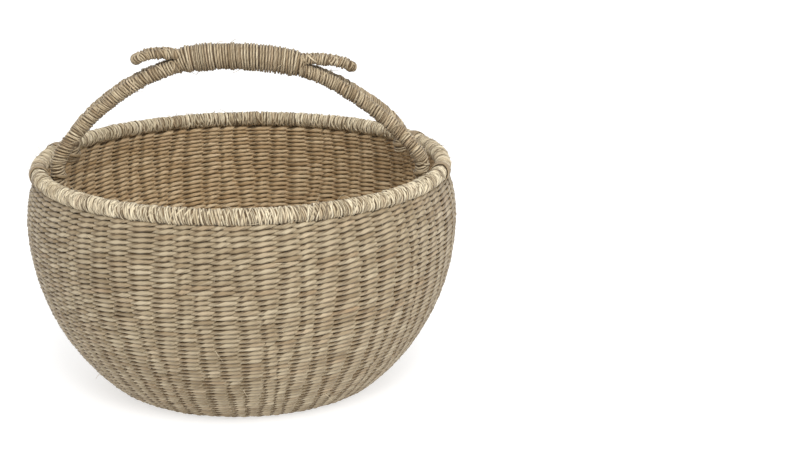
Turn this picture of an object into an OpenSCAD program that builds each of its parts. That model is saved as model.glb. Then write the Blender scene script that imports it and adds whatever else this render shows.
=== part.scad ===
// Woven seagrass fruit basket with a fixed double-hoop handle.
// Millimetres, +Z up, origin at the centre of the base on the surface it stands on.
// The handle runs along X.

/* [Overall] */
// Outside diameter of the wrapped rim
rim_d = 420; // [320:2:520]
// Height of the rim's top above the surface
rim_top = 230; // [170:1:290]
// Height of the grip's top above the rim's top
handle_rise = 113; // [60:1:200]

/* [Wall profile] */
// How far the belly stands out past the rim's outside, in radius
belly_out = 4.9; // [0:0.1:12]
// Depth of the widest ring below the rim's centre
belly_drop = 52; // [30:1:90]
// Radius of the rounded heel between the base and the side
heel_r = 24; // [18:0.5:36]
// Slope of the side where it leaves the heel, in degrees
heel_slope = 42; // [34:1:56]

/* [Weave] */
// Thickness of the strand run on each face of the wall
strand_t = 3; // [2.2:0.1:4]
// Height of one course of twining
course_h = 5; // [4:0.1:7]
// Depth of the groove between two courses
course_groove = 0.9; // [0.3:0.1:1.4]
// Number of courses in the lower side weave
lower_courses = 20; // [10:1:30]
// Radius of the round start of the base
start_r = 30; // [26:0.5:50]

/* [Stakes] */
// Number of stakes around the wall, a multiple of four
stakes = 68; // [40:4:88]
// Width of one stake
stake_w = 3.6; // [2:0.1:5]
// Thickness of one stake
stake_t = 2.6; // [1.8:0.1:3.6]
// Radius of the disc in which the long stakes cross
cross_r = 24; // [22:0.5:26]
// Radius where the added stakes are pushed in beside the long ones
added_r = 88; // [70:1:120]

/* [Rim] */
// Radius of the wrapped rim's section
rim_r = 8.7; // [7:0.1:11]
// Radius of the stiff hoop inside the rim
rim_core_r = 3; // [2:0.1:4]
// Radius of the bundle of folded stake tails round the hoop
rim_tails_r = 6; // [5:0.1:7.5]
// How far the wall stands in the wrap, below the tails
rim_seat = 2.4; // [1.5:0.1:3]

/* [Handle] */
// Radius of a wrapped handle leg
leg_r = 8; // [6:0.1:10]
// Radius of the cane core in each handle hoop
hoop_core_r = 3; // [2:0.1:4]
// Radius of one hoop strand where it is squeezed in the grip
rod_r = 4.8; // [4.2:0.1:6]
// Radius of a horn, the closed end of a hoop that stands out past the grip
horn_r = 6; // [5:0.1:7.5]
// Length of the grip's binding
grip_len = 112; // [90:1:150]
// Thickness of the grip's binding
grip_t = 2; // [1.2:0.1:4]
// Rise of the grip's middle over its ends
grip_arch = 5.5; // [0:0.1:10]
// Reach of the horn that stands out to the right, from the basket's centre
right_horn_x = 117; // [95:1:150]
// Reach of the horn that stands out to the left, from the basket's centre
left_horn_x = 108; // [95:1:150]
// Drop of a horn's tip below the top strands of the grip
horn_drop = 6; // [3:0.5:12]
// Angle of the front left foot from the handle's line
front_left_angle = 10; // [8:0.5:30]
// Angle of the back left foot from the handle's line
back_left_angle = 18; // [8:0.5:30]
// Angle of the front right foot from the handle's line
front_right_angle = 16; // [8:0.5:30]
// Angle of the back right foot from the handle's line
back_right_angle = 24; // [8:0.5:30]
// Height of each foot's lower end below the rim's centre
foot_drop = 9; // [7:0.5:20]
// Straight length of a foot above its lashing
foot_straight = 3; // [3:0.5:8]
// How much of its rise a leg makes before it bends in to the grip
leg_upright = 0.2; // [0.1:0.01:0.4]
// How far a leg has come in from its foot when it starts to bend
leg_draw_in = 0.1; // [0:0.01:0.3]
// How far along the leg its bend into the grip starts
leg_bend = 0.44; // [0.3:0.01:0.7]
// Lean of the handle, fall in height for each unit along X
lean = 0.055; // [0:0.005:0.08]

/* [Leaf lashings] */
// Thickness of the leaf strip
leaf_t = 1.2; // [0.8:0.1:2]
// Arc of the rim that a lashing covers, in degrees
leaf_arc = 8.5; // [7:0.5:14]
// Height of the strip round the foot
leaf_h = 10; // [6:0.5:14]
// Angle below level where the strip ends on the rim's outside
leaf_end = 44; // [20:1:48]
// Angle below level where the strip ends on the rim's inside
leaf_tuck = 30; // [10:1:40]

/* [Clearances] */
// Gap between the stakes and the strand runs
gap = 0.05; // [0.02:0.01:0.2]
// Gap between a leg and the rim, and between the strands in the grip
strand_gap = 0.4; // [0.2:0.05:0.8]

/* [Hidden] */

$fn = 64;

// Layers of the wall, as depths in from its outside.
wall_t = 2*strand_t + stake_t + 2*gap;
d_stake = strand_t + gap;
d_inner = d_stake + stake_t + gap;

// Rim.
rim_c = rim_d/2 - rim_r;
rim_z = rim_top - rim_r;

// Profile of the wall's outside: flat base, heel arc, side arc and shoulder arc,
// each tangent to the next. Angles run from straight down (0) to level (90) and on.
belly_r = rim_d/2 + belly_out;
belly_z = rim_z - belly_drop;
top_z = rim_z - rim_r + rim_seat;
top_r = rim_c + wall_t/2;
h3 = top_z - belly_z;
d3 = belly_r - top_r;
shoulder_r = (h3*h3 + d3*d3)/(2*d3);
a3 = asin(h3/shoulder_r);
side_r = (belly_z - heel_r*(1 - cos(heel_slope)))/cos(heel_slope);
base_r = belly_r - side_r*(1 - sin(heel_slope)) - heel_r*sin(heel_slope);

rad = PI/180;
len_heel = heel_r*heel_slope*rad;
len_side = side_r*(90 - heel_slope)*rad;
len_top = shoulder_r*a3*rad;
len_wall = len_heel + len_side + len_top;

// Point of the profile at arc length s past the base's edge, depth d inside it.
function arc_pt(cx, cz, r, a) = [cx + r*sin(a), cz - r*cos(a)];
function prof(s, d) =
    s < len_heel ? arc_pt(base_r, heel_r, heel_r - d, s/heel_r/rad)
    : s < len_heel + len_side
        ? arc_pt(belly_r - side_r, belly_z, side_r - d,
                 heel_slope + (s - len_heel)/side_r/rad)
        : arc_pt(belly_r - shoulder_r, belly_z, shoulder_r - d,
                 90 + (s - len_heel - len_side)/shoulder_r/rad);

courses = round(len_wall/course_h);
pitch = len_wall/courses;
steps = 4;
function station(k) = min(k*pitch/steps, len_wall);
bump = [1, 0.28, 0, 0.28];

// Arc lengths of the facets' edges on the stakes and on the smooth faces that lie on them.
k_low = lower_courses*steps;
s_low = station(k_low);
s_side = len_heel + len_side;
function spaced(a, b, n) = [for (i = [1:n]) a + (b - a)*i/n];
smooth_low = concat([0], spaced(0, len_heel, 4), spaced(len_heel, s_low, 5));
smooth_up = concat([s_low], spaced(s_low, s_side, 8), spaced(s_side, len_wall, 4));

// Section of a strand run between two courses: ridged on one face, smooth on the other.
function run_section(k0, k1, d_ridge, dir, smooth, d_smooth) = concat(
    [for (k = [k0:k1]) prof(station(k), d_ridge + dir*course_groove*bump[k%steps])],
    [for (i = [len(smooth)-1:-1:0]) prof(smooth[i], d_smooth)]);

k_all = courses*steps;

module run(k0, k1, d_ridge, dir, smooth, d_smooth)
    rotate_extrude($fn = 180) polygon(run_section(k0, k1, d_ridge, dir, smooth, d_smooth));

module base_ring(z, r0, h)
    translate([0, 0, z]) difference() {
        cylinder(r = base_r, h = h, $fn = 180);
        translate([0, 0, -1]) cylinder(r = r0, h = h + 2, $fn = 90);
    }

// One stake's section in the plane of its radius, from radius r0 out and up the wall.
stake_s = concat(smooth_low, [for (i = [1:len(smooth_up)-1]) smooth_up[i]]);
function stake_section(r0) = concat(
    [[r0, d_stake]], [for (s = stake_s) prof(s, d_stake)],
    [for (i = [len(stake_s)-1:-1:0]) prof(stake_s[i], d_stake + stake_t)],
    [[r0, d_stake + stake_t]]);

module stake(r0)
    rotate([90, 0, 0]) linear_extrude(height = stake_w, center = true)
        polygon(stake_section(r0));

// Handle, as a swept strand for each hoop.
sp = rod_r + strand_gap;
grip_in = sp*sqrt(2) + rod_r + strand_gap;
grip_r = grip_in + grip_t;
handle_top = rim_top + handle_rise;
axis_z = handle_top - grip_r;
gx = grip_len/2 + 2;
foot_r = rim_c - rim_r - gap - leaf_t - strand_gap - leg_r;
leg_z0 = rim_z - foot_drop;
leg_z1 = rim_z + leaf_h/2 + foot_straight;
function grip_z(x) = axis_z - grip_arch*pow(x/gx, 2);
leg_end_z = grip_z(gx) - sp;

function bez(p, t) = pow(1-t, 3)*p[0] + 3*pow(1-t, 2)*t*p[1]
                   + 3*(1-t)*t*t*p[2] + pow(t, 3)*p[3];

// Shares of a leg's spread and rise left where it comes level with the grip.
leg_spread = 0.065;
leg_fall = 0.105;
// Points are [x, y, z, radius]. side is -1 for the front leg and 1 for the back leg, and a
// is the angle of its foot. The two legs lie side by side by the grip, and part lower down.
function leg_ctrl(side, a) = let (fx = foot_r*cos(a), fy = foot_r*sin(a),
                                  dx = fx - gx, dz = leg_end_z - leg_z1) [
    [-fx, side*fy, leg_z1],
    [-fx, side*fy*(1 - leg_draw_in), leg_z1 + leg_upright*dz],
    [-gx - leg_bend*dx, side*(sp + leg_spread*(fy - sp)), leg_end_z - leg_fall*dz],
    [-gx, side*sp, leg_end_z]];
leg_n = 12;
function leg_pts(side, a) = let (c = leg_ctrl(side, a)) concat(
    [[c[0][0], c[0][1], leg_z0, leg_r],
     [c[0][0], c[0][1], (leg_z0 + leg_z1)/2, leg_r]],
    [for (i = [0:leg_n-1]) let (p = bez(c, i/leg_n))
        [p[0], p[1], p[2], min(leg_r, abs(p[1]) - strand_gap)]]);
// In the grip each pair of strands turns half round the other pair.
grip_n = 9;
function grip_pts(side) = [for (i = [0:grip_n])
    let (x = -gx + 2*gx*i/grip_n, a = (side < 0 ? 225 : 315) + 180*i/grip_n)
        [x, sp*sqrt(2)*cos(a), grip_z(x) + sp*sqrt(2)*sin(a), rod_r]];
horn_c = horn_r + strand_gap;
// A horn rises a little out of the grip, droops to its end and droops on round its turn.
horn_lift = 1;
horn_sag = 4.5;
turn_drop = 3;
// Shares of a horn's length at which its curve is steered.
horn_near = 0.35;
horn_far = 0.75;
horn_z = grip_z(gx) + sp - horn_drop + turn_drop;
function horn_end(reach) = reach - horn_r - horn_c;
function horn_ctrl(side, reach) = let (z = grip_z(gx) + sp, dx = horn_end(reach) - gx) [
    [gx, side*sp, z], [gx + horn_near*dx, side*sp, z + horn_lift],
    [gx + horn_far*dx, side*horn_c, horn_z + horn_sag], [horn_end(reach), side*horn_c, horn_z]];
horn_n = 4;
function horn_pts(side, reach) = [for (i = [1:horn_n])
    let (p = bez(horn_ctrl(side, reach), i/horn_n))
        [p[0], p[1], p[2], rod_r + (horn_r - rod_r)*i/horn_n]];
function turn_pts(reach) = [for (a = [30:30:150])
    [horn_end(reach) + horn_c*sin(a), horn_c*cos(a), horn_z - turn_drop*sin(a), horn_r]];
function rev(l) = [for (i = [len(l)-1:-1:0]) l[i]];

// The front leg's strand comes out at the back of the horn, and the back leg's at the front.
function hoop_path(a_front, a_back, reach) = concat(
    leg_pts(-1, a_front), grip_pts(-1), horn_pts(1, reach), turn_pts(reach),
    rev(horn_pts(-1, reach)), rev(grip_pts(1)), rev(leg_pts(1, a_back)));
// The right hoop is made like the left one and turned half round.
left_path = hoop_path(front_left_angle, back_left_angle, right_horn_x);
right_path = hoop_path(back_right_angle, front_right_angle, left_horn_x);

function lean_z(p) = p[2] - lean*p[0]
    *max(0, min(1, (p[2] - rim_top)/(axis_z - rim_top)));
function placed(path, s) = [for (p = path) let (q = [s*p[0], s*p[1], p[2]])
    [q[0], q[1], lean_z(q)]];
function radii(path) = [for (p = path) p[3]];

function unit(v) = v/norm(v);
function tangents(p) = let (n = len(p)) [for (i = [0:n-1])
    unit(p[min(i+1, n-1)] - p[max(i-1, 0)])];
// Side directions that turn as little as they can along the path.
function carry(u, t) = unit(u - (u*t)*t);
function sides(t) = [for (i = 0, u = carry([1, 0, 0], t[0]); i < len(t);
    i = i + 1, u = i < len(t) ? carry(u, t[i]) : u) u];
function rings(p, r, n) = let (t = tangents(p), u = sides(t))
    [for (i = [0:len(p)-1]) let (v = cross(t[i], u[i]))
        for (j = [0:n-1]) p[i] + r[i]*(u[i]*cos(360*j/n) + v*sin(360*j/n))];
function skin(m, n, o, flip) = [for (i = [0:m-2]) for (j = [0:n-1])
    let (a = o+i*n+j, b = o+i*n+(j+1)%n, c = o+(i+1)*n+(j+1)%n, d = o+(i+1)*n+j)
        each (flip ? [[a, c, b], [a, d, c]] : [[a, b, c], [a, c, d]])];

module rod(p, r, n) {
    m = len(p);
    pts = rings(p, r, n);
    faces = concat(skin(m, n, 0, false),
        [[for (j = [n-1:-1:0]) j], [for (j = [0:n-1]) (m-1)*n + j]]);
    polyhedron(points = pts, faces = [for (f = faces) rev(f)], convexity = 10);
}

module sleeve(p, ro, ri, n) {
    m = len(p);
    pts = concat(rings(p, ro, n), rings(p, ri, n));
    k = m*n;
    e = (m-1)*n;
    ends = [for (j = [0:n-1]) let (q = (j+1)%n) each
        [[j, k+q, q], [j, k+j, k+q], [e+j, e+q, k+e+q], [e+j, k+e+q, k+e+j]]];
    faces = concat(skin(m, n, 0, false), skin(m, n, k, true), ends);
    polyhedron(points = pts, faces = [for (f = faces) rev(f)], convexity = 10);
}

hoop_sides = 12;
module hoop_core(path, s)
    rod(placed(path, s), [for (p = path) hoop_core_r], hoop_sides);
module hoop_wrap(path, s)
    sleeve(placed(path, s), radii(path), [for (p = path) hoop_core_r + 2*gap], hoop_sides);

// Leaf strip laid over the rim, between it and the foot, and round the foot's inside.
module lashing(a) {
    strip_r = rim_r + gap + leaf_t;
    hug = leg_r + 2*gap;
    reach = sqrt(pow(rim_c - rim_r - gap, 2) - pow(hug + leaf_t, 2)) - foot_r - 2*gap;
    rotate([0, 0, a]) union() {
        rotate([0, 0, -leaf_arc/2]) rotate_extrude(angle = leaf_arc, $fn = 180)
            translate([rim_c, rim_z]) difference() {
                circle(r = strip_r);
                circle(r = rim_r + gap);
                rotate(-leaf_end) translate([0, -2*strip_r]) square(2*strip_r);
                rotate(180 + leaf_tuck) square(2*strip_r);
            }
        translate([foot_r, 0, rim_z - leaf_h/2]) linear_extrude(height = leaf_h)
            difference() {
                union() {
                    circle(r = hug + leaf_t);
                    translate([0, -hug - leaf_t]) square([reach, 2*(hug + leaf_t)]);
                }
                circle(r = hug);
                translate([0, -hug]) square(2*hug);
            }
    }
}

module start_pad_outer() color("#a78f68") cylinder(r = start_r - gap, h = strand_t, $fn = 90);
module start_pad_inner() color("#9d845c")
    translate([0, 0, d_inner]) cylinder(r = start_r - gap, h = strand_t, $fn = 90);

module base_weave_outer() color("#ab9671") base_ring(0, start_r, strand_t);
module base_weave_inner() color("#9a8058") base_ring(d_inner, start_r, strand_t);
module lower_weave_outer() color("#b7a37e") run(0, k_low, 0, 1, smooth_low, strand_t);
module lower_weave_inner() color("#9f865d") run(0, k_low, wall_t, -1, smooth_low, d_inner);
module upper_weave_outer() color("#bfac88") run(k_low, k_all, 0, 1, smooth_up, strand_t);
module upper_weave_inner() color("#a68d63") run(k_low, k_all, wall_t, -1, smooth_up, d_inner);

// The long stakes cross in the disc at the middle, and each runs out of it to both sides.
module long_stakes() color("#8f7850") {
    translate([0, 0, d_stake]) cylinder(r = cross_r, h = stake_t, $fn = 90);
    for (i = [0:stakes/2-1]) rotate([0, 0, 720*i/stakes]) stake(cross_r + gap);
}
module added_stakes() color("#8a744d")
    for (i = [0:stakes/2-1]) rotate([0, 0, 720*i/stakes + 360/stakes]) stake(added_r);

module rim_hoop() color("#a08a5e")
    rotate_extrude($fn = 180) translate([rim_c, rim_z]) circle(r = rim_core_r);
module rim_stake_tails() color("#9c8658")
    rotate_extrude($fn = 180) translate([rim_c, rim_z]) difference() {
        circle(r = rim_tails_r);
        circle(r = rim_core_r + gap);
    }
module rim_wrap() color("#cdc3a3")
    rotate_extrude($fn = 180) translate([rim_c, rim_z]) difference() {
        circle(r = rim_r);
        circle(r = rim_tails_r + gap);
        translate([-wall_t/2 - 2*gap, -rim_r - 1])
            square([wall_t + 4*gap, rim_seat + 1 + 2*gap]);
    }

module left_hoop_core() color("#9c8455") hoop_core(left_path, 1);
module right_hoop_core() color("#9c8455") hoop_core(right_path, -1);
module left_hoop_wrap() color("#c4b893") hoop_wrap(left_path, 1);
module right_hoop_wrap() color("#c0b38d") hoop_wrap(right_path, -1);
module grip_binding() color("#c8bc98") {
    p = [for (i = [0:8]) let (x = grip_len*(i/8 - 0.5)) [x, 0, grip_z(x)]];
    sleeve([for (q = p) [q[0], 0, lean_z(q)]], [for (q = p) grip_r], [for (q = p) grip_in], 24);
}

module front_left_lashing() color("#8d6a45") lashing(180 + front_left_angle);
module back_left_lashing() color("#8d6a45") lashing(180 - back_left_angle);
module front_right_lashing() color("#8d6a45") lashing(-front_right_angle);
module back_right_lashing() color("#8d6a45") lashing(back_right_angle);

start_pad_outer();
start_pad_inner();
base_weave_outer();
base_weave_inner();
lower_weave_outer();
lower_weave_inner();
upper_weave_outer();
upper_weave_inner();
long_stakes();
added_stakes();
rim_hoop();
rim_stake_tails();
rim_wrap();
left_hoop_core();
right_hoop_core();
left_hoop_wrap();
right_hoop_wrap();
grip_binding();
front_left_lashing();
back_left_lashing();
front_right_lashing();
back_right_lashing();
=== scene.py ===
"""Woven seagrass fruit basket: the strands of its weave, wraps and lashings, on the basket's frame."""

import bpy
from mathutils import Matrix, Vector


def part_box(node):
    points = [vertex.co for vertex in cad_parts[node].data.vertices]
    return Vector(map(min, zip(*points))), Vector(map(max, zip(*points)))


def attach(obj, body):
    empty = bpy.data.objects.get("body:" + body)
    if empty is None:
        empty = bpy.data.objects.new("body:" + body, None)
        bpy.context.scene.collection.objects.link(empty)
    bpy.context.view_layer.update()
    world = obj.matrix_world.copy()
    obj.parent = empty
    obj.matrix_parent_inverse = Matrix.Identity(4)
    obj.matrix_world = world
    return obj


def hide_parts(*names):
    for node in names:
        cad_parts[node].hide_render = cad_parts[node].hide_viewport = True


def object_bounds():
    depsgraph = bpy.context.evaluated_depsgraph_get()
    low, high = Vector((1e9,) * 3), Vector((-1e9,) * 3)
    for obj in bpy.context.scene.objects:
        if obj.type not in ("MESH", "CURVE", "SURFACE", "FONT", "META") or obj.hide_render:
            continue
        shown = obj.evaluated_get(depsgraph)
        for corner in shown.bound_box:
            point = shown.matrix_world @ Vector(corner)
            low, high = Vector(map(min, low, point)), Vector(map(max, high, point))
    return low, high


bl_info = {
    "name": "Woven Fruit Basket",
    "version": (1, 0, 0),
    "blender": (4, 5, 0),
    "location": "View3D > Sidebar > Basket",
    "description": "Weaves a round grass basket with a wrapped rim and a crossed double-hoop handle",
    "category": "Add Mesh",
}

from functools import partial

import bmesh
import bpy
import numpy as np
from bpy.props import FloatProperty, FloatVectorProperty, IntProperty, PointerProperty
from bpy.types import Operator, Panel, PropertyGroup
from mathutils import Euler, Vector

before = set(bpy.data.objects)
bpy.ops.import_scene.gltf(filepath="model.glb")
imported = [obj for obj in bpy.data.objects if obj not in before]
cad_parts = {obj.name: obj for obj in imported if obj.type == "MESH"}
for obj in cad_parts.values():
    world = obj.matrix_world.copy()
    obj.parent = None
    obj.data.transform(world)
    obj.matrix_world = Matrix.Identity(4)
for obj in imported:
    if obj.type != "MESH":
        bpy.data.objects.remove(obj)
CAD_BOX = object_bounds()
RIM_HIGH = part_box("rim_wrap")[1]
BELLY_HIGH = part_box("upper_weave_outer")[1]


# ---------------------------------------------------------------- properties


def length(name, description, default):
    return FloatProperty(name=name, description=description, default=default,
                         subtype="DISTANCE", unit="LENGTH", precision=5)


def degrees(name, description, default):
    return FloatProperty(name=name, description=description, default=np.radians(default),
                         subtype="ANGLE", unit="ROTATION")


def share(name, description, default):
    return FloatProperty(name=name, description=description, default=default)


def colour(name, description, default):
    return FloatVectorProperty(name=name, description=description, default=default,
                               subtype="COLOR", size=3, min=0, max=1)


class BasketWall(PropertyGroup):
    """The wall's profile and its layers."""
    rim_section: length("Rim section", "Radius of the wrapped rim's section", 0.0087)
    belly_drop: length("Belly drop", "Depth of the widest ring below the rim's centre", 0.052)
    heel_radius: length("Heel radius", "Radius of the rounded heel under the side", 0.024)
    heel_slope: degrees("Heel slope", "Slope of the side where it leaves the heel", 42)
    thickness: length("Thickness", "Thickness of the woven wall", 0.0087)
    rim_seat: length("Rim seat", "How far the wall stands in the rim's wrap", 0.0024)
    start_radius: length("Start radius", "Radius of the tight rounds at the base's middle", 0.030)
    added_radius: length("Added stakes", "Radius where the number of stakes doubles", 0.088)


class BasketWeave(PropertyGroup):
    """The twined strands of the wall."""
    stakes: IntProperty(name="Stakes", description="Number of stakes round the wall",
                        default=68, min=40, max=88, step=4)
    course: length("Course", "Height of one course of twining", 0.005)
    strand_width: length("Strand width", "Width of a strand where it lies flat", 0.0054)
    strand_thickness: length("Strand thickness", "Thickness of a strand", 0.0027)
    slant: length("Slant", "How far a stitch climbs on each side of its middle", 0.0013)
    base_lift: length("Base lift", "How far the base's weave sits up from the table", 0.0009)
    wander: share("Wander", "How far stitches wander sideways, in stitches", 0.14)
    points: IntProperty(name="Points", description="Points along one stitch", default=8, min=4, max=10)
    sides: IntProperty(name="Sides", description="Sides of a strand's section", default=8, min=6, max=12)


class BasketHandle(PropertyGroup):
    """The two hoops and the grip."""
    leg_radius: length("Leg radius", "Radius of a wrapped leg", 0.008)
    rod_radius: length("Squeezed radius", "Radius of a hoop strand inside the grip", 0.0048)
    horn_radius: length("Horn radius", "Radius of a hoop's closed end", 0.006)
    grip_length: length("Grip length", "Length of the grip's binding", 0.112)
    grip_thickness: length("Grip thickness", "Thickness of the grip's binding", 0.002)
    grip_taper: length("Grip taper", "How far the binding runs on past the grip's ends", 0.007)
    grip_arch: length("Grip arch", "Rise of the grip's middle over its ends", 0.0055)
    right_horn: length("Right horn", "Reach of the horn on the right from the basket's middle", 0.117)
    left_horn: length("Left horn", "Reach of the horn on the left from the basket's middle", 0.108)
    horn_drop: length("Horn drop", "Drop of a horn's tip", 0.006)
    front_left: degrees("Front left foot", "Angle of the front left foot from the handle's line", 10)
    back_left: degrees("Back left foot", "Angle of the back left foot from the handle's line", 18)
    front_right: degrees("Front right foot", "Angle of the front right foot from the handle's line", 16)
    back_right: degrees("Back right foot", "Angle of the back right foot from the handle's line", 24)
    foot_drop: length("Foot drop", "Height of a foot's end below the rim's centre", 0.009)
    foot_straight: length("Foot straight", "Straight length of a foot above its lashing", 0.003)
    upright: share("Upright", "Share of its rise before a leg bends in", 0.2)
    draw_in: share("Draw in", "How far a leg comes in before it bends", 0.1)
    bend: share("Bend", "How far along a leg its bend into the grip starts", 0.44)
    leaf_height: length("Leaf height", "Height of the strip round a foot", 0.010)
    leaf_thickness: length("Leaf thickness", "Thickness of a leaf strip", 0.0012)
    leaf_width: length("Leaf width", "Width of a leaf strip", 0.0062)
    strand_gap: length("Strand gap", "Gap between neighbouring strands", 0.0004)
    lean: share("Lean", "Fall in height for each unit along X", 0.055)


class BasketWrap(PropertyGroup):
    """The strands wound round the rim, the hoops and the grip."""
    strand_radius: length("Strand radius", "Radius of a wrapping strand", 0.00118)
    pitch: length("Pitch", "Step from one turn to the next", 0.0027)
    points: IntProperty(name="Points", description="Points along one turn", default=12, min=8, max=20)
    sides: IntProperty(name="Sides", description="Sides of a strand's section", default=7, min=5, max=12)
    unevenness: length("Unevenness", "How far turns stand in or out", 0.0008)


class BasketColours(PropertyGroup):
    """Grass colours."""
    outside: colour("Outside", "Main colour of the weave outside", (0.255, 0.19, 0.108))
    outside_pale: colour("Outside pale", "Colour of the palest strands outside", (0.46, 0.385, 0.26))
    # The inside colours are much paler than the outside ones: partly the grass's own tone, and partly
    # painted light against the shade in the bowl.
    inside: colour("Inside", "Main colour of the weave inside", (0.47, 0.325, 0.168))
    inside_pale: colour("Inside pale", "Colour of the palest strands inside", (0.72, 0.565, 0.355))
    rim: colour("Rim", "Main colour of the rim's wrap", (0.47, 0.385, 0.245))
    rim_pale: colour("Rim pale", "Colour of the palest strands on the rim", (0.80, 0.71, 0.52))
    handle: colour("Handle", "Main colour of the handle's wraps", (0.30, 0.222, 0.125))
    handle_pale: colour("Handle pale", "Colour of the palest strands on the handle", (0.60, 0.505, 0.345))
    warm: colour("Warm", "Colour that some strands turn towards", (0.42, 0.27, 0.15))
    # The crease colour is painted shade. It darkens the strands' edges and grooves, the dark strands under
    # the wraps and the grass deep in the wall.
    crease: colour("Crease", "Colour deep between the strands", (0.078, 0.044, 0.015))
    leaf: colour("Leaf", "Colour of the leaf strips", (0.38, 0.295, 0.185))
    floor: colour("Floor", "Colour of the floor", (0.50, 0.50, 0.50))


class BasketStage(PropertyGroup):
    """Camera and light."""
    distance: length("Distance", "Distance of the camera from the rim's centre", 1.70)
    elevation: degrees("Elevation", "Height angle of the camera over the rim", 14.0)
    azimuth: degrees("Azimuth", "Angle of the camera round the basket", 0.0)
    pitch: degrees("Pitch", "Downward angle of the camera", 16.26)
    heading: degrees("Heading", "Angle by which the camera looks past the basket to the right", 5.24)
    lens: FloatProperty(name="Lens", description="Focal length", default=77.2, subtype="DISTANCE_CAMERA")


# ---------------------------------------------------------------- the wall's profile


class Profile:
    """The wall's outside as arcs: flat base, heel, side and shoulder, each tangent to the next."""

    def __init__(self, wall):
        self.depth = wall.thickness
        self.rim_centre = RIM_HIGH.x - wall.rim_section
        self.rim_height = RIM_HIGH.z - wall.rim_section
        belly = BELLY_HIGH.x
        self.belly_height = self.rim_height - wall.belly_drop
        top = self.rim_height - wall.rim_section + wall.rim_seat
        rise = top - self.belly_height
        fall = belly - (self.rim_centre + wall.thickness / 2)
        self.shoulder = (rise ** 2 + fall ** 2) / (2 * fall)
        self.heel, self.slope = wall.heel_radius, wall.heel_slope
        self.side = (self.belly_height - self.heel * (1 - np.cos(self.slope))) / np.cos(self.slope)
        self.base = belly - self.side * (1 - np.sin(self.slope)) - self.heel * np.sin(self.slope)
        self.belly = belly
        self.heel_end = self.heel * self.slope
        self.side_end = self.heel_end + self.side * (np.pi / 2 - self.slope)
        self.end = self.side_end + self.shoulder * np.arcsin(rise / self.shoulder)

    def angle(self, s):
        """Slope of the wall's normal at arc length s past the base's edge, from straight down."""
        s = np.asarray(s, float)
        heel = np.clip(s / self.heel, 0, self.slope)
        side = self.slope + (s - self.heel_end) / self.side
        shoulder = np.pi / 2 + (s - self.side_end) / self.shoulder
        return np.where(s < self.heel_end, heel, np.where(s < self.side_end, side, shoulder))

    def point(self, s, depth):
        """Radius and height at arc length s, at a depth inside the outside face."""
        s, depth = np.broadcast_arrays(np.asarray(s, float), depth)
        a = self.angle(s)
        on_base, on_heel, on_side = s < 0, s < self.heel_end, s < self.side_end
        radius = np.where(on_heel, self.heel, np.where(on_side, self.side, self.shoulder)) - depth
        centre_r = np.where(on_heel, self.base,
                            np.where(on_side, self.belly - self.side, self.belly - self.shoulder))
        centre_z = np.where(on_heel, self.heel, self.belly_height)
        r = centre_r + radius * np.sin(a)
        z = centre_z - radius * np.cos(a)
        return np.where(on_base, self.base + s, r), np.where(on_base, depth, z)


# ---------------------------------------------------------------- strands


def new_object(name, data):
    made = bpy.data.objects.new(name, data)
    bpy.context.collection.objects.link(made)
    return made


def mesh_object(name, bm):
    """An object that holds a bmesh, which is freed."""
    mesh = bpy.data.meshes.new(name)
    bm.to_mesh(mesh)
    bm.free()
    return new_object(name, mesh)


def round_axis(radius, angle, height):
    """Points at a radius and an angle round the basket's upright axis."""
    return np.stack(np.broadcast_arrays(radius * np.cos(angle), radius * np.sin(angle), height), -1)


def path_length(points):
    """Length along a path at each of its points."""
    steps = np.linalg.norm(np.diff(points, axis=0), axis=1)
    return np.concatenate([[0], np.cumsum(steps)])


class Strand:
    """A path to sweep: points, radius and tilt at each, a tint of (pale, warm, crease), whose last value is
    how much painted shade the strand's edges take, and if it closes.
    """

    def __init__(self, points, radius, tint, tilt=0.0, closed=False):
        n = len(points)
        self.points = np.asarray(points, float)
        self.radius = np.broadcast_to(radius, n)
        self.tilt = np.broadcast_to(tilt, n)
        self.tint = np.broadcast_to(tint, (n, 3))
        self.closed = closed


def waves(angle, rng, orders, size):
    """A smooth wobble round a ring: a sum of a few waves with random phases."""
    total = np.zeros_like(angle)
    for order in orders:
        total += rng.uniform(-1, 1) * np.sin(order * angle + rng.uniform(0, 2 * np.pi))
    return size * total / np.sqrt(len(orders))


def section_curve(width, thickness, sides):
    curve = bpy.data.curves.new("section", "CURVE")
    curve.dimensions = "2D"
    spline = curve.splines.new("POLY")
    spline.points.add(sides - 1)
    for i, point in enumerate(spline.points):
        a = -2 * np.pi * i / sides
        point.co = (width / 2 * np.cos(a), thickness / 2 * np.sin(a), 0, 1)
    spline.use_cyclic_u = True
    return new_object("section", curve)


def sweep(name, strands, width, thickness, sides, twist="Z_UP"):
    """One mesh of many strands, each an oval section carried along its path."""
    section = section_curve(width, thickness, sides)
    curve = bpy.data.curves.new(name, "CURVE")
    curve.dimensions = "3D"
    curve.twist_mode = twist
    curve.bevel_mode = "OBJECT"
    curve.bevel_object = section
    for strand in strands:
        n = len(strand.points)
        spline = curve.splines.new("POLY")
        spline.points.add(n - 1)
        spline.points.foreach_set("co", np.c_[strand.points, np.ones(n)].ravel())
        spline.points.foreach_set("radius", np.ascontiguousarray(strand.radius, float))
        spline.points.foreach_set("tilt", np.ascontiguousarray(strand.tilt, float))
        spline.use_cyclic_u = strand.closed
    carrier = new_object(name + "_path", curve)
    depsgraph = bpy.context.evaluated_depsgraph_get()
    depsgraph.update()
    mesh = bpy.data.meshes.new_from_object(carrier.evaluated_get(depsgraph))
    for helper in (carrier, section):
        data = helper.data
        bpy.data.objects.remove(helper)
        bpy.data.curves.remove(data)
    if len(mesh.vertices) != sides * sum(len(s.points) for s in strands):
        raise RuntimeError(f"{name}: the sweep did not give one ring for each point")
    close_ends(mesh)
    paint_strands(mesh, strands, width, thickness, sides)
    mesh.name = name
    mesh.shade_smooth()
    return new_object(name, mesh)


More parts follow.
